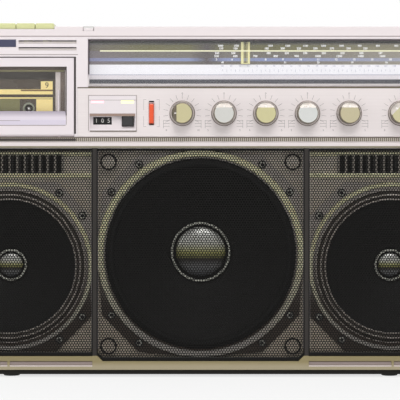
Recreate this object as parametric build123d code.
from build123d import *
import math
import os

# Radio cassette player. Millimetres, +Z up, front towards -Y. The origin is the centre of the
# footprint, on the surface that the feet stand on.

# Rows of the front, from the ground up
FOOT_H = 2.7
BASE_H = 4.5
SILL_H = 13.8
SEAM = 0.5
TRIM_H = 11.0
PANEL_H = 48.5
DIAL_GROOVE = 1.5
DIAL_H = 47.5
BROW_H = 3.5
COVER_H = 9.0

# Columns of the front
DIVIDER_W = 4.5
MARGIN = 6.0

# Depths
CASE_D = 150.0
FRONT_D = 55.0
STEP_D = 50.0
STEP_DROP = 23.5
WALL = 3.0
EDGE_R = 4.0

# Fits
FIT = 0.25
RUN = 0.05
GAP = 0.4

# Grilles
GRILLE_T = 1.2
GRILLE_LIP = 1.2
GRILLE_SEAT = 1.5
GRILLE_RIM = 5.0
HOLE_PITCH = 30.0
HOLE_R = 14.0
SILL_DROP = 5.0
SILL_RECESS = 1.2
SILL_BAR = 1.2
CORNER_CUT = 6.0

# Loudspeakers
BAFFLE_GAP = 8.0
BAFFLE_T = 4.0
BAFFLE_RISE = 3.0
BAFFLE_RIM = 2.0
FLANGE_T = 2.5
RING_T = 2.0
MAGNET_T = 16.0
BOSS_R = 6.5
BOSS_INSET = 11.5
WOOFER_R = 102.8
WOOFER_RISE = 4.3
WOOFER_TOP_GAP = 2.6
WOOFER_SIDE_GAP = 0.95
WOOFER_CAP_R = 28.5
WOOFER_CAP_DEPTH = 36.0
WOOFER_EAR_REACH = 10.8
WOOFER_SCREW_REACH = 5.8
MIDBASS_R = 83.7
MIDBASS_RISE = 5.7
MIDBASS_SIDE_GAP = 0.175
MIDBASS_CAP_R = 15.3
MIDBASS_CAP_DEPTH = 28.0
MIDBASS_EAR_REACH = 10.3
MIDBASS_SCREW_REACH = 5.5
RING_W = 5.8
CONE_T = 0.9
CAP_RISE = 0.34
EAR_HALF_W = 26.0
SCREW_ANGLE = 10.4
SCREW_HEAD_R = 3.6
SCREW_HEAD_H = 1.6
TWEETER_W = 108.0
TWEETER_H = 19.0
TWEETER_GAP = 18.9
TWEETER_TOP_GAP = 1.8
TWEETER_D = 24.0
TWEETER_BAR_H = 4.2
SLAT_COUNT = 15
SLAT_T = 1.6

# Air slots
AIR_SLOT_W = 58.0
AIR_SLOT_H = 3.2
AIR_SLOT_DROP = 8.0
AIR_SLOT_PITCH = 6.8

# Cassette bay
DOOR_INSET = 82.25
DOOR_W = 134.0
DOOR_H = 79.6
DOOR_T = 3.0
WINDOW_W = 119.0
WINDOW_RISE = 25.5
WINDOW_H = 44.5
LIP_RISE = 11.6
WINDOW_T = 1.5
TAPE_W = 100.4
TAPE_H = 63.8
TAPE_T = 12.0
TAPE_GAP = 3.5
TAPE_DROP = 9.4
CHANNEL_RISE = 44.0
HUB_SPACING = 42.5
HUB_RISE = 34.6
HUB_R = 5.0
CHANNEL_T = 1.6
CHASSIS_DEPTH = 26.0
CHASSIS_T = 1.6
KEY_TRAVEL_ROOM = 10.0
SPINDLE_R = 2.8
SPINDLE_TAPER = 3.0
REEL_R = 13.0
FLYWHEEL_R = 24.0
FLYWHEEL_T = 7.0
CAPSTAN_R = 1.25
MOTOR_R = 16.0
MOTOR_L = 26.0
MOTOR_DX = -44.0
MOTOR_DROP = 24.0
CAPSTAN_DX = 21.0
CAPSTAN_DROP = 26.0

# Cassette keys
KEY_COUNT = 6
KEY_PITCH = 19.2
KEY_GAP = 0.8
KEY_START = -1.05
KEY_TOP = 3.5
KEY_H = 5.6
KEY_D = 28.0
KEY_SETBACK = 3.8
KEY_ROD_R = 1.5
KEY_ROD_DEPTH = 46.0
KEY_ROD_DROP = 3.2
SKIRT_T = 2.5

# Top button
POWER_INSET = 11.0
POWER_W = 10.4
POWER_D = 11.0
POWER_H = 4.0

# Control panel
PANEL_GAP = 3.65
PANEL_T = 1.2
KNOB_D = 25.3
KNOB_FACE_D = 20.0
KNOB_H = 14.0
KNOB_SKIRT_H = 2.0
KNOB_FLAT = 0.66
KNOB_ROW_Z = 263.7
KNOB_ROW_START = 30.8
BAND_KNOB_GAP = 51.5
BAND_KNOB_INSET = 76.0
SHAFT_R = 3.0
POT_R = 8.5
POT_D = 8.0
BOARD_DEPTH = 18.0
BOARD_T = 1.6
POST_R = 3.0
POST_INSET = 5.0
COUNTER_INSET = 35.0
COUNTER_W = 48.0
COUNTER_H = 36.0
COUNTER_Z = 264.0
COUNTER_LEDGE = 18.5
COUNTER_SINK = 4.0
COUNTER_WINDOW_W = 18.6
COUNTER_WINDOW_H = 7.6
COUNTER_WINDOW_DX = -10.2
COUNTER_WINDOW_RISE = 6.4
COUNTER_WHEEL_R = 9.0
RESET_DX = 15.2
RESET_RISE = 4.8
RESET_W = 11.4
RESET_H = 11.0
RESET_PROUD = 3.0
SELECTOR_DX = 39.0
SELECTOR_W = 5.6
SELECTOR_H = 23.5
SELECTOR_PROUD = 2.6

# Tuning
DIAL_START = 10.5
DIAL_INSET = 54.6
DIAL_LIP = 1.2
DIAL_GLASS_T = 1.5
DIAL_PLATE_DEPTH = 9.0
DIAL_PLATE_T = 1.2
DIAL_PLATE_DROP = 4.0
POINTER_X = 44.9
POINTER_W = 9.0
POINTER_H = 22.0
POINTER_T = 0.8
RAIL_R = 1.5
TUNING_INSET = 27.0
TUNING_D = 40.0
TUNING_PROUD = 16.0
TUNING_SHAFT_L = 34.0
PULLEY_R = 10.6
PULLEY_T = 6.0
PULLEY_DEPTH = 24.0
GANG_W = 32.0
GANG_H = 30.0
GANG_D = 22.0

# Handle
HANDLE_PIVOT_DEPTH = 37.0
HANDLE_PIVOT_DROP = 51.5
GRIP_SETBACK = 26.57
GRIP_RISE = 16.04
ARM_T = 5.5
ARM_W = 15.0
ARM_GAP = 1.0
GRIP_T = 14.0
GRIP_W = 18.0
PIVOT_R = 5.0
PIVOT_HEAD_R = 7.5
PIVOT_HEAD_T = 1.5

# Aerial
AERIAL_INSET = 32.0
AERIAL_SETBACK = 8.0
AERIAL_RISE = 9.0
AERIAL_TUBE_R = 4.0
AERIAL_TUBE_WALL = 0.6
AERIAL_TUBE_L = 230.0
AERIAL_TIP_R = 3.8
AERIAL_LUG_W = 6.0
AERIAL_PIN_R = 1.6

# Power and sockets
BATTERY_W = 262.0
BATTERY_H = 74.0
BATTERY_D = 38.0
BATTERY_RISE = 12.0
BATTERY_DOOR_T = 2.5
TRAY_T = 1.6
INLET_INSET = 77.0
INLET_Z = 36.0
INLET_W = 26.0
INLET_H = 16.0
INLET_D = 14.0
SOCKET_INSET = 32.0
SOCKET_R = 1.9
TRANSFORMER_W = 62.0
TRANSFORMER_H = 50.0
TRANSFORMER_D = 32.0
LOUVRE_COUNT = 7
LOUVRE_W = 100.0
LOUVRE_H = 2.6
LOUVRE_PITCH = 7.0
LOUVRE_RISE = 24.0

# Feet
FOOT_R = 9.25
FOOT_SIDE_INSET = 91.6
FOOT_INSET = 18.0

# Rows and columns worked out from the sizes above
z_base = FOOT_H
z_shell = z_base + BASE_H
z_grille = z_shell + SILL_H
z_centre_grille = z_grille - SILL_DROP
z_woofer = z_centre_grille + WOOFER_RISE + WOOFER_R
z_midbass = z_grille + MIDBASS_RISE + MIDBASS_R
z_tweeter = z_midbass + MIDBASS_R + TWEETER_GAP
z_grille_top = max(z_tweeter + TWEETER_H / 2 + TWEETER_BAR_H + TWEETER_TOP_GAP,
                   z_woofer + WOOFER_R + WOOFER_TOP_GAP)
z_trim = z_grille_top + SEAM
z_trim_top = z_trim + TRIM_H
z_panel = z_trim_top + SEAM
z_panel_top = z_panel + PANEL_H
z_dial = z_panel_top + DIAL_GROOVE
z_dial_top = z_dial + DIAL_H
z_cover = z_dial_top + BROW_H
z_top = z_cover + COVER_H
z_ledge = z_cover - STEP_DROP

centre_grille_w = 2 * (WOOFER_R + WOOFER_SIDE_GAP)
side_grille_w = 2 * (MIDBASS_R + MIDBASS_SIDE_GAP)
x_centre_bay = centre_grille_w / 2
x_side_bay = x_centre_bay + DIVIDER_W
x_bay_end = x_side_bay + side_grille_w
x_case = x_bay_end + MARGIN
x_midbass = (x_side_bay + x_bay_end) / 2
door_x = DOOR_INSET - x_bay_end
panel_x = door_x + DOOR_W / 2 + PANEL_GAP
counter_x = panel_x + COUNTER_INSET
counter_window_x = counter_x + COUNTER_WINDOW_DX
reset_x = counter_x + RESET_DX
selector_x = counter_x + SELECTOR_DX
knob_row_x = selector_x + KNOB_ROW_START
band_knob_x = x_bay_end - BAND_KNOB_INSET
knob_pitch = (band_knob_x - BAND_KNOB_GAP - knob_row_x) / 4
dial_x0 = panel_x + DIAL_START
dial_x1 = x_bay_end - DIAL_INSET
tuning_x = x_bay_end - TUNING_INSET
power_x = panel_x + POWER_INSET
aerial_x = AERIAL_INSET - x_case
inlet_x = x_case - INLET_INSET
socket_x = x_case - SOCKET_INSET

y_front = (TUNING_PROUD - CASE_D) / 2
y_back = y_front + CASE_D
y_split = y_front + FRONT_D
y_step = y_back - STEP_D
y_baffle = y_front + BAFFLE_GAP


def block(x0, x1, y0, y1, z0, z1):
    return Pos((x0 + x1) / 2, (y0 + y1) / 2, (z0 + z1) / 2) * Box(x1 - x0, y1 - y0, z1 - z0)


def facing(part, y, x=0.0, z=0.0):
    # Local X and Y become the width and height of the front, local Z comes out of it.
    return Pos(x, y, z) * Rot(X=90) * part


def rod_y(x, z, y0, y1, r):
    return facing(Cylinder(r, y1 - y0, align=(Align.CENTER, Align.CENTER, Align.MIN)), y1, x, z)


def rod_x(x0, x1, y, z, r):
    return Pos((x0 + x1) / 2, y, z) * Rot(Y=90) * Cylinder(r, x1 - x0)


def window_cut(x0, x1, z0, z1, y0, y1, r=1.0):
    face = Pos((x0 + x1) / 2, (z0 + z1) / 2) * RectangleRounded(x1 - x0, z1 - z0, r)
    return facing(extrude(face, y1 - y0), y1)


def spun(points):
    # A solid of revolution about local Z from (radius, height) points.
    return revolve(Plane.XZ * make_face(Polyline(*points, close=True)), Axis.Z)


# Outline of one grille: the centre one has its lower corners cut at 45 degrees.
def grille_outline(side, grow):
    if side == 0:
        x0, x1, z0 = -x_centre_bay, x_centre_bay, z_centre_grille
    else:
        x0, x1 = sorted((side * x_side_bay, side * x_bay_end))
        z0 = z_grille
    x0, x1, z0, z1 = x0 - grow, x1 + grow, z0 - grow, z_grille_top + grow
    if side:
        return Pos((x0 + x1) / 2, (z0 + z1) / 2) * Rectangle(x1 - x0, z1 - z0)
    c = CORNER_CUT
    corners = [(x0 + c, z0), (x1 - c, z0), (x1, z0 + c), (x1, z1), (x0, z1), (x0, z0 + c)]
    return make_face(Polyline(*corners, close=True))


y_panel = y_front + PANEL_T
knob_xs = [knob_row_x + i * knob_pitch for i in range(5)] + [band_knob_x]
door_x0 = door_x - DOOR_W / 2
door_x1 = door_x + DOOR_W / 2
z_door = z_trim_top + GAP
z_door_top = z_door + DOOR_H
door_axis = (y_front + DOOR_T, z_door + DOOR_T)
z_tape = door_axis[1] - TAPE_DROP
z_hub = z_tape + HUB_RISE
key_x0 = door_x0 + KEY_START
key_x1 = key_x0 + KEY_COUNT * KEY_PITCH
key_axis = (y_front + KEY_ROD_DEPTH, z_cover - WALL - KEY_ROD_DROP)
y_board = y_front + BOARD_DEPTH
board_x0 = selector_x + 8.0
board_x1 = x_bay_end - 2.0
counter_x0 = counter_x - COUNTER_W / 2
counter_x1 = counter_x + COUNTER_W / 2
counter_z0 = COUNTER_Z - COUNTER_H / 2
counter_z1 = COUNTER_Z + COUNTER_H / 2
z_selector = KNOB_ROW_Z + 0.3
z_tuning = (z_dial + z_dial_top) / 2
handle_pivot = (y_front + HANDLE_PIVOT_DEPTH, z_cover - HANDLE_PIVOT_DROP)
grip_run = y_back - GRIP_SETBACK - handle_pivot[0]
grip_rise = z_ledge + GRIP_RISE - handle_pivot[1]
handle_reach = math.hypot(grip_run, grip_rise)
handle_rest = math.degrees(math.atan2(grip_rise, grip_run))
battery_x = BATTERY_W / 2
z_battery = z_shell + BATTERY_RISE
z_battery_top = z_battery + BATTERY_H
aerial_y = y_back - AERIAL_SETBACK
aerial_z = z_ledge + AERIAL_RISE


# Front half of the case: a moulded shell, open at the back, with the speaker bays, the cassette
# bay, the dial window, the control panel's recess and the air slots cut in its face.
def front_cabinet():
    shell = block(-x_case, x_case, y_front, y_split, z_shell, z_cover)
    shell = fillet(shell.edges().filter_by(Axis.Z).group_by(Axis.Y)[0], EDGE_R)
    shell -= block(-x_case + WALL, x_case - WALL, y_front + WALL, y_split + WALL,
                   z_shell + WALL, z_cover - WALL)
    for side in (-1, 0, 1):
        shell -= facing(extrude(grille_outline(side, FIT), GRILLE_SEAT + WALL), y_front + GRILLE_SEAT)
        shell -= facing(extrude(grille_outline(side, -GRILLE_LIP), 3 * WALL), y_front + 2 * WALL)
    shell -= block(-x_case + WALL, x_case - WALL, y_front - WALL, y_front + GRILLE_SEAT,
                   z_trim - FIT, z_trim_top + FIT)
    shell -= block(panel_x - FIT, x_bay_end + FIT, y_front - WALL, y_panel,
                   z_panel - FIT, z_panel_top + FIT)
    shell -= window_cut(door_x0 - GAP, door_x1 + GAP, z_door - GAP, z_door_top + GAP,
                        y_front - WALL, y_front + 2 * WALL)
    shell -= window_cut(dial_x0 - FIT, dial_x1 + FIT, z_dial - FIT, z_dial_top + FIT,
                        y_front - WALL, y_front + DIAL_GLASS_T + FIT)
    shell -= block(dial_x0 + DIAL_LIP, dial_x1 - DIAL_LIP, y_front - WALL, y_front + 2 * WALL,
                   z_dial + DIAL_LIP, z_dial_top - DIAL_LIP)
    for row in range(2):
        slot_z = z_cover - AIR_SLOT_DROP - AIR_SLOT_PITCH * row
        shell -= block(panel_x - 1.0 - AIR_SLOT_W, panel_x - 1.0, y_front - WALL, y_front + 2 * WALL,
                       slot_z, slot_z + AIR_SLOT_H)
    for x in knob_xs:
        shell -= rod_y(x, KNOB_ROW_Z, y_front - WALL, y_front + 2 * WALL, SHAFT_R + 2.0)
    shell -= rod_y(tuning_x, z_tuning, y_front - WALL, y_front + 2 * WALL, SHAFT_R + 2.0)
    shell -= block(counter_x0 - FIT, counter_x1 + FIT, y_front - WALL, y_front + 2 * WALL,
                   counter_z0 - FIT, counter_z1 + FIT)
    shell -= block(selector_x - SELECTOR_W / 2 - GAP, selector_x + SELECTOR_W / 2 + GAP,
                   y_front - WALL, y_front + 2 * WALL, z_selector - SELECTOR_H / 2 - GAP,
                   z_selector + SELECTOR_H / 2 + GAP)
    # Shallow recesses along the sill under the side grilles, two on each side
    for side in (-1, 1):
        for x0, x1 in ((x_side_bay, x_midbass - SILL_BAR), (x_midbass + SILL_BAR, x_bay_end)):
            xa, xb = sorted((side * x0, side * x1))
            shell -= block(xa, xb, y_front - WALL, y_front + SILL_RECESS, z_shell + 4.4, z_shell + 8.8)
    shell -= block(key_x0 - GAP, key_x1 + GAP, y_front + SKIRT_T, key_axis[0] + 6.0,
                   z_cover - 2 * WALL, z_cover + WALL)
    shell -= block(power_x - POWER_W / 2 - GAP, power_x + POWER_W / 2 + GAP, y_front + WALL,
                   y_front + POWER_D + GAP, z_cover - 2 * WALL, z_cover + WALL)
    # Posts that carry the circuit board
    for x in (board_x0 + POST_INSET, board_x1 - POST_INSET):
        for z in (z_panel + POST_INSET, z_panel_top - POST_INSET):
            shell += rod_y(x, z, y_front + WALL, y_board, POST_R)
    return shell


# Rear half of the case, with the base lip that reaches under the front half and the step that
# the handle folds down into.
def rear_cabinet():
    shell = block(-x_case, x_case, y_split, y_back, z_shell, z_cover)
    shell += block(-x_case, x_case, y_front + 1.5, y_back, z_base, z_shell)
    shell -= block(-x_case - WALL, x_case + WALL, y_step, y_back + WALL, z_ledge, z_cover + WALL)
    upright = shell.edges().filter_by(Axis.Z).group_by(Axis.Y)[-1]
    shell = fillet(upright, EDGE_R)
    shell -= block(-x_case + WALL, x_case - WALL, y_split - WALL, y_step - WALL,
                   z_shell, z_cover - WALL)
    shell -= block(-x_case + WALL, x_case - WALL, y_split - WALL, y_back - WALL,
                   z_shell, z_ledge - WALL)
    shell -= block(-battery_x - GAP, battery_x + GAP, y_back - 2 * WALL, y_back + WALL,
                   z_battery - GAP, z_battery_top + GAP)
    shell -= window_cut(inlet_x - INLET_W / 2, inlet_x + INLET_W / 2, INLET_Z - INLET_H / 2,
                        INLET_Z + INLET_H / 2, y_back - 2 * WALL, y_back + WALL)
    shell -= rod_y(socket_x, INLET_Z, y_back - 2 * WALL, y_back + WALL, 5.0)
    # Louvres that cool the transformer
    for i in range(LOUVRE_COUNT):
        z = z_battery_top + LOUVRE_RISE + LOUVRE_PITCH * i
        shell -= block(inlet_x - LOUVRE_W / 2, inlet_x + LOUVRE_W / 2, y_back - 2 * WALL, y_back + WALL,
                       z, z + LOUVRE_H)
    return shell


# Top cover: a shallow silver tray turned upside down over both halves.
def top_cover():
    cover = block(-x_case, x_case, y_front, y_step, z_cover, z_top)
    cover = fillet(cover.edges().filter_by(Axis.Z).group_by(Axis.Y)[0], EDGE_R)
    rim = cover.faces().sort_by(Axis.Z)[-1].edges()
    cover = chamfer(rim, 1.0)
    cover -= block(-x_case + SKIRT_T, x_case - SKIRT_T, y_front + SKIRT_T, y_step - SKIRT_T,
                   z_cover - WALL, z_top - SKIRT_T)
    cover -= block(key_x0 - GAP, key_x1 + GAP, y_front + SKIRT_T, y_front + KEY_SETBACK
                   + KEY_D + GAP, z_cover - WALL, z_top + WALL)
    cover -= block(key_x0 - GAP, key_x1 + GAP, y_front - WALL, y_front + 2 * WALL,
                   z_top - SKIRT_T, z_top + WALL)
    cover -= block(power_x - POWER_W / 2 - GAP, power_x + POWER_W / 2 + GAP, y_front - WALL,
                   y_front + POWER_D + GAP, z_top - POWER_H - GAP, z_top + WALL)
    return cover


# Baffle: one dark board behind all three grilles, with a raised rim that seats on the back of
# the front half, and bosses that stop the centre grille from rattling.
def speaker_baffle():
    x1 = x_bay_end + WALL
    z0, z1 = z_shell + WALL, z_grille_top + BAFFLE_RISE
    board = block(-x1, x1, y_front + WALL, y_baffle + BAFFLE_T, z0, z1)
    board -= block(-x1 + BAFFLE_RIM, x1 - BAFFLE_RIM, y_front, y_baffle, z0 + BAFFLE_RIM,
                   z1 - BAFFLE_RIM / 2)
    board -= rod_y(0, z_woofer, y_front, y_baffle + 2 * BAFFLE_T, WOOFER_R - 3.0)
    for side in (-1, 1):
        x = side * x_midbass
        board -= rod_y(x, z_midbass, y_front, y_baffle + 2 * BAFFLE_T, MIDBASS_R - 3.0)
        board -= block(x - TWEETER_W / 2 - 1.0, x + TWEETER_W / 2 + 1.0, y_front,
                       y_baffle + 2 * BAFFLE_T, z_tweeter - TWEETER_H / 2 - 1.0,
                       z_tweeter + TWEETER_H / 2 + 1.0)
        for z in (z_centre_grille + BOSS_INSET + 3.0, z_grille_top - BOSS_INSET - 2.0):
            board += rod_y(side * (x_centre_bay - BOSS_INSET), z, y_baffle - 4.0, y_baffle, BOSS_R)
    return board


# Perforated grille: a flat rim round hexagonal holes, in staggered rows.
def grille(side):
    sheet = extrude(grille_outline(side, 0.0), GRILLE_T)
    x_mid = side * x_midbass
    width = side_grille_w if side else centre_grille_w
    z0 = z_grille if side else z_centre_grille
    row_step = HOLE_PITCH * math.sqrt(3) / 2
    rows = int((z_grille_top - z0 - 2 * GRILLE_RIM - 2 * HOLE_R) / row_step) + 1
    z_first = (z0 + z_grille_top - (rows - 1) * row_step) / 2
    places = []
    for row in range(rows):
        count = int((width - 2 * GRILLE_RIM - 2 * HOLE_R) / HOLE_PITCH) + 1 - row % 2
        x_first = x_mid - (count - 1) * HOLE_PITCH / 2
        places += [(x_first + i * HOLE_PITCH, z_first + row * row_step) for i in range(count)]
    holes = Sketch() + [Pos(x, z) * RegularPolygon(HOLE_R, 6, rotation=30) for x, z in places]
    sheet -= extrude(holes, 2 * GRILLE_T)
    return facing(sheet, y_front + GRILLE_SEAT)


# Loudspeaker frame outline: a circle drawn out to four screwed ears on the diagonals.
def eared_outline(radius, ear):
    corners = []
    reach = math.hypot(ear, EAR_HALF_W)
    spread = math.degrees(math.atan2(EAR_HALF_W, ear))
    tangent = math.degrees(math.acos(radius / reach))
    for quadrant in range(4):
        middle = (quadrant + 0.5) * 90.0
        for sign in (-1, 1):
            arc = [(radius, middle + sign * (spread + tangent)), (reach, middle + sign * spread)]
            corners += arc if sign < 0 else arc[::-1]
    points = [(r * math.cos(math.radians(a)), r * math.sin(math.radians(a))) for r, a in corners]
    return make_face(Polyline(*points, close=True)) + Circle(radius)


# Pressed-steel basket: eared flange, four arms, and the magnet on the back plate.
def woofer_frame(radius, ear, cap_depth, x, z):
    flange = extrude(eared_outline(radius + 0.8, radius + ear) - Circle(radius - 7.0), FLANGE_T)
    seat_r = radius - 3.6
    back_r = seat_r * 0.46
    back_z = -cap_depth - 14.0
    skirt = spun([(seat_r, 0), (seat_r, -6), (back_r, back_z), (back_r - 2, back_z), (seat_r - 2, -6),
                  (seat_r - 2, 0)])
    for i in range(4):
        skirt -= Rot(Z=90.0 * i) * Pos(radius * 0.62, 0, back_z / 2 - 3) * Box(
            radius * 0.5, radius * 0.52, -back_z - 16)
    magnet = Pos(0, 0, back_z) * Cylinder(back_r, MAGNET_T,
                                          align=(Align.CENTER, Align.CENTER, Align.MAX))
    basket = flange + skirt + magnet
    return facing(basket, y_baffle, x, z)


# Paper cone with its foam roll and coil former, and the domed dust cap glued to it.
def woofer_cone(radius, cap_r, cap_depth, x, z):
    edge = radius - 7.6
    neck = cap_r - 6.0
    slope = cap_depth / (edge - 8.0 - cap_r)
    neck_z = -cap_depth - slope * (cap_r - neck) + 0.5
    t = CONE_T
    rim = edge - 8.0
    roll = [(edge, 0.4), (edge - 1.5, 0.4), (edge - 4.6, 3.0), (rim, 0.4)]
    under = [(rim + t, -0.6), (edge - 4.6, 2.0), (edge - 1.8, -0.5), (edge, -0.5)]
    coil = [(neck, neck_z), (neck, neck_z - 10.0), (neck + t, neck_z - 10.0), (neck + t, neck_z - 0.8)]
    cone = spun(roll + coil + under)
    # The cap's profile: a shallow arc through four points, and the same arc one thickness lower
    dome_z = 1.6 - cap_depth
    rise = cap_r * CAP_RISE
    arc = [(cap_r, 0.0), (cap_r * 0.75, rise * 0.5), (cap_r * 0.4, rise * 0.88), (0.0, rise)]
    dome = Pos(0, 0, dome_z) * spun(arc + [(0.0, rise - t), (cap_r - 2 * t, 0.0)])
    return facing(cone, y_baffle - 0.4, x, z), facing(dome, y_baffle - 0.4, x, z)


# Bright trim ring on the front of each loudspeaker flange.
def trim_ring(radius, x, z):
    ring = spun([(radius, 0), (radius - 1.4, RING_T), (radius - RING_W + 0.8, RING_T),
                 (radius - RING_W, 0)])
    return facing(ring, y_baffle - FLANGE_T, x, z)


# Pan-head screws that hold the loudspeakers, two at each ear.
def speaker_screws():
    screws = []
    sets = [(0.0, z_woofer, WOOFER_R + WOOFER_SCREW_REACH),
            (-x_midbass, z_midbass, MIDBASS_R + MIDBASS_SCREW_REACH),
            (x_midbass, z_midbass, MIDBASS_R + MIDBASS_SCREW_REACH)]
    for x, z, r in sets:
        for quadrant in range(4):
            for sign in (-1, 1):
                a = math.radians(45.0 + 90.0 * quadrant + sign * SCREW_ANGLE)
                place = (x + r * math.cos(a), z + r * math.sin(a))
                body = extrude(RegularPolygon(SCREW_HEAD_R, 8), SCREW_HEAD_H)
                screws.append(facing(body, y_baffle - FLANGE_T, *place))
    return screws


# Horn tweeter: a housing behind the baffle with a slatted mouth.
def tweeter(x):
    w, h = TWEETER_W / 2, TWEETER_H / 2
    horn = block(x - w, x + w, y_baffle - FLANGE_T, y_baffle + TWEETER_D, z_tweeter - h,
                 z_tweeter + h)
    horn -= block(x - w + 1.5, x + w - 1.5, y_baffle - 2 * FLANGE_T, y_baffle + TWEETER_D - 6.0,
                  z_tweeter - h + 1.5, z_tweeter + h - 1.5)
    pitch = (TWEETER_W - 3.0) / (SLAT_COUNT - 1 + 0.4)
    for i in range(1, SLAT_COUNT):
        sx = x - w + 1.5 + (i - 0.3) * pitch
        horn += block(sx - SLAT_T / 2, sx + SLAT_T / 2, y_baffle - FLANGE_T, y_baffle + 5.0,
                      z_tweeter - h + 1.0, z_tweeter + h - 1.0)
    return horn


def tweeter_bars():
    bars = []
    for side in (-1, 1):
        x0, x1 = sorted((side * (x_side_bay + 1.0), side * (x_bay_end - 0.5)))
        for z in (z_tweeter + TWEETER_H / 2, z_tweeter - TWEETER_H / 2 - TWEETER_BAR_H):
            bar = block(x0, x1, y_baffle - FLANGE_T, y_baffle, z, z + TWEETER_BAR_H)
            bars.append(bar)
    return bars


# Aluminium control panel, glued into its recess.
def control_panel():
    plate = block(panel_x, x_bay_end, y_front, y_panel, z_panel, z_panel_top)
    for x in knob_xs:
        plate -= rod_y(x, KNOB_ROW_Z, y_front - 1, y_panel + 1, SHAFT_R + 2.0)
    plate -= window_cut(counter_x0, counter_x1, counter_z0, counter_z1, y_front - 1, y_panel + 1)
    plate -= window_cut(selector_x - SELECTOR_W / 2 - GAP, selector_x + SELECTOR_W / 2 + GAP,
                        z_selector - SELECTOR_H / 2 - GAP, z_selector + SELECTOR_H / 2 + GAP,
                        y_front - 1, y_panel + 1)
    return plate


# Silver strip between the grilles and the controls: a polished band below a ribbed groove.
def trim_strip():
    x1 = x_case - WALL - FIT
    deep = y_front + GRILLE_SEAT
    band_top = z_trim + TRIM_H * 0.56
    profile = [(deep, z_trim), (y_front + 0.2, z_trim), (y_front - 0.6, z_trim + 2.0),
               (y_front - 0.6, band_top - 0.6), (y_front + 0.6, band_top),
               (y_front + 0.6, z_trim_top), (deep, z_trim_top)]
    face = Plane.YZ * make_face(Polyline(*profile, close=True))
    return Pos(-x1, 0, 0) * extrude(face, 2 * x1)


# Round knob with a bevelled flat that carries its pointer line, on its metal shaft.
def knob(x, z, diameter, face_d, height, turn, tail):
    r, f = diameter / 2, face_d / 2
    body = spun([(0, 0), (r, 0), (r, KNOB_SKIRT_H), (r - 0.8, KNOB_SKIRT_H + 0.5), (f, height), (0, height)])
    slope = [(f * KNOB_FLAT, height + 1.0), (f * KNOB_FLAT, height), (r - 0.4, KNOB_SKIRT_H + 0.5),
             (r + 1.0, KNOB_SKIRT_H + 0.5), (r + 1.0, height + 1.0)]
    body -= Pos(-r, 0, 0) * extrude(Plane.YZ * make_face(Polyline(*slope, close=True)), 2 * r)
    shaft = Cylinder(SHAFT_R, tail + 1.0, align=(Align.CENTER, Align.CENTER, Align.MAX))
    body += Pos(0, 0, 1.0) * shaft
    return facing(Rot(Z=-turn) * body, y_front - GAP, x, z)


# Potentiometers and the band switch, soldered to the circuit board behind the panel.
def potentiometers():
    pots = []
    y0 = y_board - POT_D
    for x in knob_xs:
        pot = block(x - POT_R, x + POT_R, y0, y_board, KNOB_ROW_Z - POT_R, KNOB_ROW_Z + POT_R)
        pot += facing(extrude(RegularPolygon(SHAFT_R + 2.2, 6), y0 + 1 - y_front - WALL), y0 + 1, x,
                      KNOB_ROW_Z)
        pot -= rod_y(x, KNOB_ROW_Z, y_front, y_board - 1.5, SHAFT_R + RUN)
        pots.append(pot)
    return pots


def circuit_board():
    return block(board_x0, board_x1, y_board, y_board + BOARD_T, z_panel + 1.0, z_panel_top - 1.0)


# Counter block: an upper plate over a sunken lower shelf with the window and the reset button.
def counter_bezel():
    y1 = y_front + 2 * WALL + COUNTER_SINK
    bezel = window_cut(counter_x0, counter_x1, counter_z0, counter_z1, y_front - 0.6, y1)
    z_ledge_line = counter_z1 - COUNTER_LEDGE
    bezel -= block(counter_x0 + 1.2, counter_x1 - 1.2, y_front - WALL, y_front + COUNTER_SINK,
                   counter_z0 + 2.4, z_ledge_line)
    bezel -= block(counter_x0 + 1.2, counter_x1 - 1.2, y_front + COUNTER_SINK + 1.6, y1 + 1,
                   counter_z0 + 1.2, counter_z1 - 1.2)
    z0 = counter_z0 + COUNTER_WINDOW_RISE
    bezel -= block(counter_window_x - COUNTER_WINDOW_W / 2, counter_window_x + COUNTER_WINDOW_W / 2,
                   y_front, y1 + 1, z0, z0 + COUNTER_WINDOW_H)
    bezel -= block(reset_x - RESET_W / 2 - GAP, reset_x + RESET_W / 2 + GAP, y_front, y1 + 1,
                   counter_z0 + RESET_RISE - GAP, counter_z0 + RESET_RISE + RESET_H + GAP)
    for x in (counter_x0 + 9.0, counter_x1 - 9.0):
        bezel -= block(x - 6.5, x + 6.5, y_front - WALL, y1 + 1, counter_z1 - 8.4, counter_z1 - 5.4)
    return bezel


def indicator_lamps():
    lamps = []
    for x in (counter_x0 + 9.0, counter_x1 - 9.0):
        lamps.append(block(x - 6.4, x + 6.4, y_front - 0.4, y_front + 5.0, counter_z1 - 8.3,
                           counter_z1 - 5.5))
    return lamps


# Tape counter: three number wheels on one spindle, in a box behind the window.
def tape_counter():
    y0 = y_front + COUNTER_SINK + 1.6
    z_axis = counter_z0 + COUNTER_WINDOW_RISE + COUNTER_WINDOW_H / 2
    y_axis = y0 + COUNTER_WHEEL_R + 0.6
    wheel_w = COUNTER_WINDOW_W / 3 - 0.4
    wheels = []
    for i in range(3):
        x0 = counter_window_x - COUNTER_WINDOW_W / 2 + 0.2 + i * (wheel_w + 0.4)
        wheels.append(rod_x(x0, x0 + wheel_w, y_axis, z_axis, COUNTER_WHEEL_R))
    x0 = counter_window_x - COUNTER_WINDOW_W / 2
    x1 = counter_window_x + COUNTER_WINDOW_W / 2
    spindle = rod_x(x0 - 1.5, x1 + 1.5, y_axis, z_axis, 1.5)
    cheek = block(x0 - 1.5, x0 - 0.3, y0 + 1.0, y_axis + 3, z_axis - 5, z_axis + 5)
    cheeks = cheek + block(x1 + 0.3, x1 + 1.5, y0 + 1.0, y_axis + 3, z_axis - 5, z_axis + 5)
    return spindle + cheeks + wheels


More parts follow.
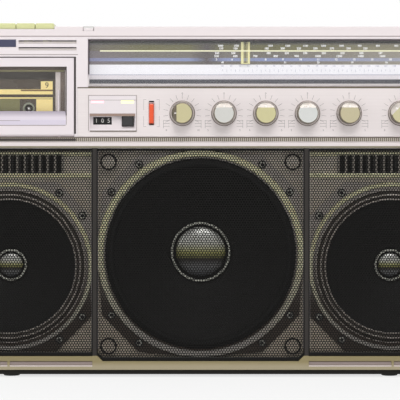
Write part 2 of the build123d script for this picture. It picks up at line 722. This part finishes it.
def reset_button():
    z0 = counter_z0 + RESET_RISE
    cap = block(reset_x - RESET_W / 2, reset_x + RESET_W / 2, y_front + COUNTER_SINK - RESET_PROUD,
                y_front + COUNTER_SINK + 6.0, z0, z0 + RESET_H)
    return chamfer(cap.faces().sort_by(Axis.Y)[0].edges(), 0.8)


# Tape selector: a narrow rocker with a rounded nose, on a cross pin.
def tape_selector():
    pivot_y = y_front + 6.0
    nose = Rot(Y=90) * Cylinder(SELECTOR_H / 2 + 2.0, SELECTOR_W)
    bar = Pos(selector_x, y_front - SELECTOR_PROUD + SELECTOR_H / 2 + 2.0, z_selector) * nose
    bar &= block(selector_x - SELECTOR_W / 2, selector_x + SELECTOR_W / 2,
                 y_front - SELECTOR_PROUD - 1, pivot_y + 3.0,
                 z_selector - SELECTOR_H / 2 + 1.2, z_selector + SELECTOR_H / 2 - 1.2)
    bar += rod_x(selector_x - SELECTOR_W / 2 - 3, selector_x + SELECTOR_W / 2 + 3, pivot_y, z_selector,
                 1.5)
    return bar


# Clear dial window in its rebate.
def dial_window():
    return window_cut(dial_x0, dial_x1, z_dial, z_dial_top, y_front + FIT,
                      y_front + DIAL_GLASS_T + FIT)


# Scale plate behind the window, its end brackets, and the rail that the pointer slides on.
def dial_plate():
    y0 = y_front + DIAL_PLATE_DEPTH
    x0, x1 = dial_x0 - 4.0, dial_x1 + 4.0
    z1 = z_dial_top - DIAL_PLATE_DROP
    plate = block(x0, x1, y0, y0 + DIAL_PLATE_T, z_dial - 1.0, z1)
    rail_y, rail_z = y0 + 6.0, z1 - 8.0
    for x in (x0, x1 - 1.6):
        plate += block(x, x + 1.6, y_front + WALL, y0 + 9.0, z_dial - 1.0, z1)
    plate += rod_x(x0, x1, rail_y, rail_z, RAIL_R)
    return plate


# Pointer: a slotted cream cursor in front of the plate, bridged to a carriage on the rail.
def dial_pointer():
    y0 = y_front + DIAL_PLATE_DEPTH
    z1 = z_dial_top - DIAL_PLATE_DROP
    x0, x1 = POINTER_X - POINTER_W / 2, POINTER_X + POINTER_W / 2
    front = block(x0, x1, y0 - 3.0, y0 - 3.0 + POINTER_T, z1 + 1.6 - POINTER_H, z1 + 1.6)
    front -= block(x0 + 3.0, x1 - 2.4, y0 - 4.0, y0, z1 + 2.8 - POINTER_H, z1 - 1.0)
    for i in range(2):
        sx = x0 + 3.8 + 1.3 * i
        front += block(sx, sx + 0.6, y0 - 3.0, y0 - 3.0 + POINTER_T, z1 + 2.0 - POINTER_H, z1)
    bridge = block(x0, x1, y0 - 3.0, y0 + 8.5, z1 + GAP, z1 + 1.6)
    carriage = block(x0 - 3, x1 + 3, y0 + 3.0, y0 + 8.5, z1 - 12.0, z1 + 1.6)
    carriage -= rod_x(x0 - 9, x1 + 9, y0 + 6.0, z1 - 8.0, RAIL_R + RUN)
    return front + bridge + carriage


def tuning_knob():
    body = knob(tuning_x, z_tuning, TUNING_D, TUNING_D - 4.0, TUNING_PROUD - GAP, 0.0, TUNING_SHAFT_L)
    y0 = y_front + PULLEY_DEPTH
    body += rod_y(tuning_x, z_tuning, y0, y0 + PULLEY_T, PULLEY_R)
    return body


# Tuning gang: the box that the tuning shaft ends in.
def tuning_gang():
    y0 = y_front + PULLEY_DEPTH + PULLEY_T + 1.0
    w, h = GANG_W / 2, GANG_H / 2
    box = block(tuning_x - w, tuning_x + w, y0, y0 + GANG_D, z_tuning - h, z_tuning + h)
    box -= rod_y(tuning_x, z_tuning, y0 - 1, y_front + TUNING_SHAFT_L + WALL, SHAFT_R + RUN)
    for x in (tuning_x - w + POST_R, tuning_x + w - POST_R):
        box += rod_y(x, z_tuning - h + POST_R, y_front + WALL, y0, 2.0)
    return box


# Cassette door: a frame round the window recess, a sloping lower lip, and two channels behind
# that hold the cassette. Its lower edge is round about the hinge line.
def cassette_door():
    z1 = z_door_top
    door = block(door_x0, door_x1, y_front, y_front + DOOR_T, door_axis[1], z1)
    door += rod_x(door_x0, door_x1, door_axis[0], door_axis[1], DOOR_T)
    win_x0, win_x1 = door_x - WINDOW_W / 2, door_x + WINDOW_W / 2
    win_z0 = z_door + WINDOW_RISE
    door -= block(win_x0, win_x1, y_front - 1, y_front + 2 * DOOR_T, win_z0, win_z0 + WINDOW_H)
    # The lip slopes back from the face to the window
    lip = [(y_front - 1, z_door + LIP_RISE), (y_front + 1.8, win_z0), (y_front - 1, win_z0)]
    slope = Plane.YZ * make_face(Polyline(*lip, close=True))
    door -= Pos(win_x0, 0, 0) * extrude(slope, WINDOW_W)
    tape_x = TAPE_W / 2 + GAP
    y0 = y_front + DOOR_T
    y1 = y0 + TAPE_GAP + TAPE_T + GAP
    for side in (-1, 1):
        xa, xb = sorted((door_x + side * tape_x, door_x + side * (tape_x + CHANNEL_T)))
        door += block(xa, xb, y0 - 0.5, y1 + CHANNEL_T, door_axis[1] + 2.0, door_axis[1] + CHANNEL_RISE)
        xa, xb = sorted((door_x + side * (tape_x - 5.0), door_x + side * (tape_x + CHANNEL_T)))
        door += block(xa, xb, y1, y1 + CHANNEL_T, z_tape, door_axis[1] + CHANNEL_RISE)
        door += block(xa, xb, y0 + 3.2, y1 + CHANNEL_T, z_tape - 1.0, z_tape - 0.2)
        xa, xb = sorted((door_x + side * tape_x, door_x + side * (tape_x + CHANNEL_T)))
        door += block(xa, xb, y0 + 3.2, y1 + CHANNEL_T, z_tape - 1.0, door_axis[1] + 4.0)
    return door


def door_window():
    win_x0, win_x1 = door_x - WINDOW_W / 2 + FIT, door_x + WINDOW_W / 2 - FIT
    win_z0 = z_door + WINDOW_RISE + FIT
    return block(win_x0, win_x1, y_front + 1.0, y_front + 1.0 + WINDOW_T, win_z0,
                 win_z0 + WINDOW_H - 2 * FIT)


# Compact cassette: body with the thicker head end down, two toothed hubs, and the window.
def cassette():
    y0 = y_front + DOOR_T + TAPE_GAP
    z0, z1 = z_tape, z_tape + TAPE_H
    body = block(door_x - TAPE_W / 2, door_x + TAPE_W / 2, y0 + 1.6, y0 + TAPE_T - 1.6, z0, z1)
    trapeze = [(door_x - 33.0, z0), (door_x + 33.0, z0), (door_x + 30.0, z0 + 16.0),
               (door_x - 30.0, z0 + 16.0)]
    thick = extrude(make_face(Polyline(*trapeze, close=True)), TAPE_T)
    body += facing(thick, y0 + TAPE_T)
    for side in (-1, 1):
        body -= rod_y(door_x + side * HUB_SPACING / 2, z0 + HUB_RISE, y0 - 1, y0 + TAPE_T + 1, HUB_R)
    return body


def hub_rings():
    rings = []
    y0 = y_front + DOOR_T + TAPE_GAP
    for side in (-1, 1):
        x = door_x + side * HUB_SPACING / 2
        ring = rod_y(x, z_hub, y0 + 2.2, y0 + TAPE_T - 2.2, HUB_R)
        ring -= rod_y(x, z_hub, y0, y0 + TAPE_T, HUB_R - 1.0)
        rings.append(ring)
    return rings


y_chassis = y_front + CHASSIS_DEPTH
capstan = (door_x + CAPSTAN_DX, z_hub - CAPSTAN_DROP)
motor = (door_x + MOTOR_DX, z_hub - MOTOR_DROP)


# Deck chassis: the pressed plate that carries the motor, flywheel, spindles and key rod.
def deck_chassis():
    x0, x1 = door_x0 - 2.0, door_x1 + 1.0
    z0, z1 = z_trim_top - 5.0, z_cover - WALL
    plate = block(x0, x1, y_chassis, y_chassis + CHASSIS_T, z0, z1 - KEY_TRAVEL_ROOM)
    for side in (-1, 1):
        plate -= rod_y(door_x + side * HUB_SPACING / 2, z_hub, y_chassis - 1, y_chassis + 3,
                       SPINDLE_R + RUN)
    plate -= rod_y(capstan[0], capstan[1], y_chassis - 1, y_chassis + 3, CAPSTAN_R + RUN)
    plate -= rod_y(motor[0], motor[1], y_chassis - 1, y_chassis + 3, 4.0)
    # Side flanges forward to the case, and rearward cheeks for the key rod
    for x in (x0, x1 - CHASSIS_T):
        plate += block(x, x + CHASSIS_T, y_front + WALL, y_chassis + 0.5, z_door_top + 2.0, z1)
        plate += block(x, x + CHASSIS_T, y_chassis, key_axis[0] + 5.0, z_door_top, z1)
    plate += rod_x(x0, x1, *key_axis, KEY_ROD_R)
    return plate


def reel_spindle(side):
    x = door_x + side * HUB_SPACING / 2
    y_tip = y_front + DOOR_T + TAPE_GAP + 5.0
    tail = y_chassis + 9.0 - y_tip
    shape = [(0, 0), (1.2, 0), (SPINDLE_R, SPINDLE_TAPER), (SPINDLE_R, tail), (0, tail)]
    post = Pos(x, y_tip, z_hub) * Rot(X=-90) * spun(shape)
    post += rod_y(x, z_hub, y_chassis + CHASSIS_T + 0.3, y_chassis + CHASSIS_T + 6.3, REEL_R)
    return post


def flywheel():
    x, z = capstan
    y0 = y_chassis + CHASSIS_T + 8.0
    wheel = rod_y(x, z, y0, y0 + FLYWHEEL_T, FLYWHEEL_R)
    wheel -= rod_y(x, z, y0 + 2.0, y0 + FLYWHEEL_T + 1, FLYWHEEL_R - 5.0)
    wheel += rod_y(x, z, y0, y0 + FLYWHEEL_T + 3.0, 3.0)
    wheel += rod_y(x, z, y_chassis - 5.0, y0 + 1, CAPSTAN_R)
    return wheel


def deck_motor():
    x, z = motor
    y1 = y_chassis + CHASSIS_T + MOTOR_L
    can = rod_y(x, z, y_chassis + CHASSIS_T, y1, MOTOR_R)
    return can + rod_y(x, z, y1 - 1.0, y1 + 8.0, 3.0)


# Cassette keys: each a wide cap on a lever that turns on the common rod.
def cassette_key(index):
    x0 = key_x0 + index * KEY_PITCH + KEY_GAP / 2
    x1 = x0 + KEY_PITCH - KEY_GAP
    y0 = y_front + KEY_SETBACK
    z1 = z_top + KEY_TOP
    cap = block(x0, x1, y0, y0 + KEY_D, z1 - KEY_H, z1)
    cap = chamfer(cap.faces().sort_by(Axis.Z)[-1].edges(), 0.8)
    xm = (x0 + x1) / 2
    rod_z = key_axis[1]
    arm = block(xm - 2.5, xm + 2.5, y0 + 12.0, y0 + 16.0, rod_z + 1.0, z1 - KEY_H + 0.5)
    arm += block(xm - 2.5, xm + 2.5, y0 + 12.0, key_axis[0], rod_z - 2.2, rod_z + 2.2)
    arm += rod_x(xm - 4.0, xm + 4.0, key_axis[0], rod_z, KEY_ROD_R + 2.0)
    key = cap + arm
    return key - rod_x(x0 - 1, x1 + 1, key_axis[0], rod_z, KEY_ROD_R + RUN)


def power_button():
    x0, x1 = power_x - POWER_W / 2, power_x + POWER_W / 2
    cap = block(x0, x1, y_front + 0.3, y_front + POWER_D, z_top - POWER_H + 1.6, z_top + 0.5)
    cap = chamfer(cap.faces().sort_by(Axis.Z)[-1].edges(), 0.5)
    stem = block(power_x - 2, power_x + 2, y_front + 5.0, y_front + 8.5, z_cover - 5.0,
                 z_top - POWER_H + 2.0)
    return cap + stem


# Carrying handle: two flat arms outside the case and a padded bar between them, folded back.
def arm_frame(part):
    y, z = handle_pivot
    return Pos(0, y, z) * Rot(X=handle_rest) * part


def handle_arm(side):
    x0, x1 = sorted((side * (x_case + ARM_GAP), side * (x_case + ARM_GAP + ARM_T)))
    bar = block(x0, x1, 0, handle_reach, -ARM_W / 2, ARM_W / 2)
    bar += rod_x(x0, x1, 0, 0, ARM_W / 2)
    bar += rod_x(x0, x1, handle_reach, 0, ARM_W / 2)
    bar -= rod_x(x0 - 1, x1 + 1, 0, 0, PIVOT_R + RUN)
    return arm_frame(bar)


def handle_grip():
    x1 = x_case + ARM_GAP
    bar = Pos(-x1, handle_reach, 0) * extrude(Plane.YZ * RectangleRounded(GRIP_T, GRIP_W, 5.0), 2 * x1)
    return arm_frame(bar)


def handle_pivots():
    pins = []
    y, z = handle_pivot
    for side in (-1, 1):
        ends = (side * x_case, side * (x_case + 2 * ARM_GAP + ARM_T))
        pin = rod_x(min(ends), max(ends), y, z, PIVOT_R)
        ends = (ends[1], ends[1] + side * PIVOT_HEAD_T)
        pin += rod_x(min(ends), max(ends), y, z, PIVOT_HEAD_R)
        pins.append(pin)
    return pins


# Telescopic aerial: a clevis block on the ledge, then tubes that slide in one another.
def aerial_mount():
    w = AERIAL_LUG_W / 2 + GAP
    base = block(aerial_x - 8.0, aerial_x + 6.0, aerial_y - w - 2.6, aerial_y + w + 2.6, z_ledge,
                 aerial_z + 4.0)
    base -= block(aerial_x - 5.5, aerial_x + 9.0, aerial_y - w, aerial_y + w, z_ledge + 2.0,
                  aerial_z + 9.0)
    base += rod_y(aerial_x, aerial_z, aerial_y - w - 1, aerial_y + w + 1, AERIAL_PIN_R)
    return base


def aerial_clip():
    x0 = aerial_x + AERIAL_TUBE_L - 24.0
    r = AERIAL_TUBE_R + 0.3
    clip = block(x0, x0 + 8.0, aerial_y - r - 1.6, aerial_y + r + 1.6, z_ledge, aerial_z + 1.0)
    clip -= rod_x(x0 - 1, x0 + 9, aerial_y, aerial_z, r)
    return clip - block(x0 - 1, x0 + 9, aerial_y - r, aerial_y + r, aerial_z, aerial_z + 9)


def aerial_tubes():
    radii = [AERIAL_TUBE_R - i * (AERIAL_TUBE_WALL + RUN) for i in range(4)]
    start = aerial_x + 9.0
    tubes = []
    for i in range(3):
        x0 = start + 4.0 * i
        x1 = start + AERIAL_TUBE_L + 1.5 * i
        tube = rod_x(x0, x1, aerial_y, aerial_z, radii[i])
        bore = rod_x(x0 + 4.0, x1 + 1.0, aerial_y, aerial_z, radii[i] - AERIAL_TUBE_WALL)
        tubes.append(tube - bore)
    w = AERIAL_LUG_W / 2
    lug = block(aerial_x, start + 2.0, aerial_y - w, aerial_y + w, aerial_z - 3.0, aerial_z + 3.0)
    lug += rod_y(aerial_x, aerial_z, aerial_y - w, aerial_y + w, 3.0)
    lug -= rod_y(aerial_x, aerial_z, aerial_y - w - 1, aerial_y + w + 1, AERIAL_PIN_R + RUN)
    tubes[0] = tubes[0] + lug
    x0 = start + 12.0
    x1 = start + AERIAL_TUBE_L + 6.0
    tip = rod_x(x0, x1, aerial_y, aerial_z, radii[3])
    tip += rod_x(x1, x1 + 5.0, aerial_y, aerial_z, AERIAL_TIP_R)
    return tubes + [tip]


# Battery tray: an open box behind the rear door, sized for eight large cells.
def battery_tray():
    y0 = y_back - WALL - BATTERY_D
    x1, z0, z1 = battery_x + GAP, z_battery - GAP, z_battery_top + GAP
    tray = block(-x1 - TRAY_T, x1 + TRAY_T, y0, y_back - WALL, z0 - TRAY_T, z1 + TRAY_T)
    tray -= block(-x1, x1, y0 + TRAY_T, y_back, z0, z1)
    return tray


def battery_door():
    y1 = y_back
    axis_z = z_battery + BATTERY_DOOR_T
    door = block(-battery_x + GAP, battery_x - GAP, y1 - BATTERY_DOOR_T, y1, axis_z,
                 z_battery_top - GAP)
    door += rod_x(-battery_x + GAP, battery_x - GAP, y1 - BATTERY_DOOR_T, axis_z, BATTERY_DOOR_T)
    for i in range(5):
        z = z_battery + 20.0 + 9.0 * i
        door -= block(-battery_x + 16.0, battery_x - 16.0, y1 - 0.8, y1 + 1, z, z + 3.0)
    return door


# Mains inlet: a two-pin socket body set in the rear wall.
def mains_inlet():
    body = window_cut(inlet_x - INLET_W / 2 + FIT, inlet_x + INLET_W / 2 - FIT,
                      INLET_Z - INLET_H / 2 + FIT, INLET_Z + INLET_H / 2 - FIT,
                      y_back - INLET_D, y_back)
    mouth = Pos(-4, 0) * Circle(4.4) + Pos(4, 0) * Circle(4.4) + Rectangle(8, 8.8)
    return body - facing(extrude(mouth, INLET_D), y_back + WALL, inlet_x, INLET_Z)


def headphone_socket():
    body = rod_y(socket_x, INLET_Z, y_back - 14.0, y_back - WALL, 7.0)
    body += rod_y(socket_x, INLET_Z, y_back - WALL - 1, y_back + 0.0, 4.8)
    return body - rod_y(socket_x, INLET_Z, y_back - 12.0, y_back + 1, SOCKET_R)


def mains_transformer():
    y1 = y_back - WALL - 16.0
    y0 = y1 - TRANSFORMER_D
    x0, x1 = inlet_x - TRANSFORMER_W / 2, inlet_x + TRANSFORMER_W / 2
    core = block(x0, x1, y0 + 6.0, y1 - 6.0, z_shell, z_shell + TRANSFORMER_H)
    coil = block(x0 + 12.0, x1 - 12.0, y0, y0 + 5.9, z_shell + 10.0, z_shell + TRANSFORMER_H - 10.0)
    coil_back = block(x0 + 12.0, x1 - 12.0, y1 - 5.9, y1, z_shell + 10.0,
                      z_shell + TRANSFORMER_H - 10.0)
    return core + coil + coil_back + block(x0 + 12.0, x1 - 12.0, y0 + 5, y1 - 5, z_shell + 10.0,
                                           z_shell + 12.0)


def feet():
    pads = []
    for side in (-1, 1):
        for y in (y_front + FOOT_INSET, y_back - FOOT_INSET):
            pad = spun([(0, 0), (FOOT_R - 1.4, 0), (FOOT_R, FOOT_H), (0, FOOT_H)])
            pads.append(Pos(side * (x_case - FOOT_SIDE_INSET), y, 0) * pad)
    return pads


KEY_NAMES = ["record", "play", "rewind", "wind", "stop_eject", "pause"]
KNOB_NAMES = ["volume", "bass", "treble", "balance", "stereo", "band"]
KNOB_TURNS = [-90.0, 0.0, 0.0, 0.0, 0.0, -45.0]

tubes = aerial_tubes()
nodes = {
    "front_cabinet": front_cabinet(),
    "rear_cabinet": rear_cabinet(),
    "top_cover": top_cover(),
    "speaker_baffle": speaker_baffle(),
    "grille_centre": grille(0),
    "grille_left": grille(-1),
    "grille_right": grille(1),
    "woofer_frame_centre": woofer_frame(WOOFER_R, WOOFER_EAR_REACH, WOOFER_CAP_DEPTH, 0.0, z_woofer),
    "woofer_cone_centre": list(woofer_cone(WOOFER_R, WOOFER_CAP_R, WOOFER_CAP_DEPTH, 0.0, z_woofer)),
    "speaker_rings": [trim_ring(WOOFER_R, 0.0, z_woofer), trim_ring(MIDBASS_R, -x_midbass, z_midbass),
                      trim_ring(MIDBASS_R, x_midbass, z_midbass)],
    "speaker_screws": speaker_screws(),
    "side_woofer_frames": [woofer_frame(MIDBASS_R, MIDBASS_EAR_REACH, MIDBASS_CAP_DEPTH, side * x_midbass,
                                        z_midbass) for side in (-1, 1)],
    "side_woofer_cones": [piece for side in (-1, 1) for piece in woofer_cone(
        MIDBASS_R, MIDBASS_CAP_R, MIDBASS_CAP_DEPTH, side * x_midbass, z_midbass)],
    "tweeters": [tweeter(-x_midbass), tweeter(x_midbass)],
    "tweeter_bars": tweeter_bars(),
    "control_panel": control_panel(),
    "trim_strip": trim_strip(),
    "control_board": [circuit_board(), tuning_gang()] + potentiometers(),
    "counter_bezel": counter_bezel(),
    "indicator_lamps": indicator_lamps(),
    "tape_counter": tape_counter(),
    "counter_reset": reset_button(),
    "tape_selector": tape_selector(),
    "dial_window": dial_window(),
    "dial_plate": dial_plate(),
    "dial_pointer": dial_pointer(),
    "tuning_knob": tuning_knob(),
    "cassette_door": cassette_door(),
    "door_window": door_window(),
    "cassette": [cassette()] + hub_rings(),
    "deck_chassis": [deck_chassis(), deck_motor()],
    "supply_spindle": reel_spindle(-1),
    "takeup_spindle": reel_spindle(1),
    "flywheel": flywheel(),
    "power_button": power_button(),
    "handle_arms": [handle_arm(-1), handle_arm(1)],
    "handle_grip": handle_grip(),
    "handle_pivots": handle_pivots(),
    "aerial_mount": [aerial_mount(), aerial_clip()],
    "aerial_tube_1": tubes[0],
    "aerial_tube_2": tubes[1],
    "aerial_tube_3": tubes[2],
    "aerial_tip": tubes[3],
    "battery_tray": battery_tray(),
    "battery_door": battery_door(),
    "rear_sockets": [mains_inlet(), headphone_socket()],
    "mains_transformer": mains_transformer(),
    "feet": feet(),
}
for name, x, turn in zip(KNOB_NAMES, knob_xs, KNOB_TURNS):
    nodes[name + "_knob"] = knob(x, KNOB_ROW_Z, KNOB_D, KNOB_FACE_D, KNOB_H, turn,
                                 BOARD_DEPTH - 3.0)
for index, name in enumerate(KEY_NAMES):
    nodes["key_" + name] = cassette_key(index)

os.makedirs("parts", exist_ok=True)
for name, shape in nodes.items():
    solids = shape if isinstance(shape, list) else [shape]
    bodies = [s for piece in solids for s in piece.solids()]
    export_step(Compound(children=bodies) if len(bodies) > 1 else bodies[0], f"parts/{name}.step")
